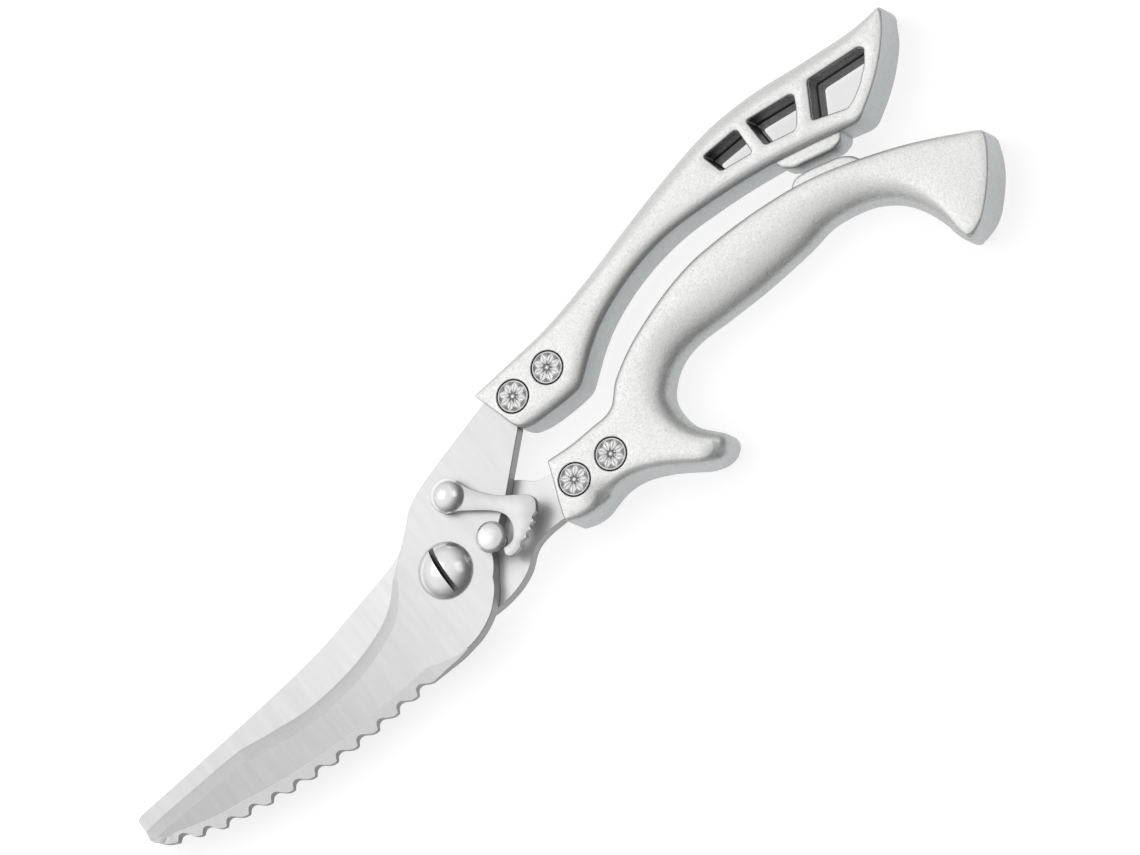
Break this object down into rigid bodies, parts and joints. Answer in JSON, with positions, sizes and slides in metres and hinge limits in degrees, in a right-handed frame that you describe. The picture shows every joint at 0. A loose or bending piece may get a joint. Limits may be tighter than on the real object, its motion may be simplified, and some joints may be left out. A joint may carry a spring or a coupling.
{
  "type": "poultry shears",
  "caption": "Latched poultry shears with a notched upper blade, a plain lower blade, a domed pivot screw and cast handles with a finger guard.",
  "frame": {"origin": "on the pivot axis, in the plane of the nut's outer face and the handles' rear faces, on which the shears lie", "axes": "+X from the blade tips towards the handles, +Y towards the front handle, +Z along the pivot axis out of the screw head"},
  "size_m": [0.2694, 0.0678, 0.0149],
  "materials": {
    "blade_steel": "satin ground stainless steel",
    "cast_aluminium": "fine blasted casting",
    "polished_steel": "polished",
    "spring_steel": "oiled spring steel"
  },
  "bodies": {
    "rear half": {"rear_blade": "blade_steel", "rear_handle": "cast_aluminium", "rear_rivet_inner_post": "polished_steel", "rear_rivet_inner_tube": "polished_steel", "rear_rivet_outer_post": "polished_steel", "rear_rivet_outer_tube": "polished_steel", "pivot_screw": "polished_steel", "pivot_nut": "polished_steel", "pivot_washer": "spring_steel", "torsion_spring": "spring_steel", "latch_stud": "polished_steel"},
    "front half": {"front_blade": "blade_steel", "front_handle": "cast_aluminium", "front_rivet_inner_post": "polished_steel", "front_rivet_inner_tube": "polished_steel", "front_rivet_outer_post": "polished_steel", "front_rivet_outer_tube": "polished_steel", "latch_rivet": "polished_steel", "latch_washer": "spring_steel"},
    "latch": {"latch_lever": "blade_steel"}
  },
  "joints": [
    {"name": "blade hinge", "type": "hinge", "parent": "rear half", "child": "front half", "pos_m": [0, 0, 0.0064], "axis": [0, 0, 1], "range_deg": [-0.75, 32], "deforming": ["torsion_spring"]},
    {"name": "latch hinge", "type": "hinge", "parent": "front half", "child": "latch", "pos_m": [0.0121, 0.0131, 0.0114], "axis": [0, 0, 1], "range_deg": [-6, 30]}
  ]
}
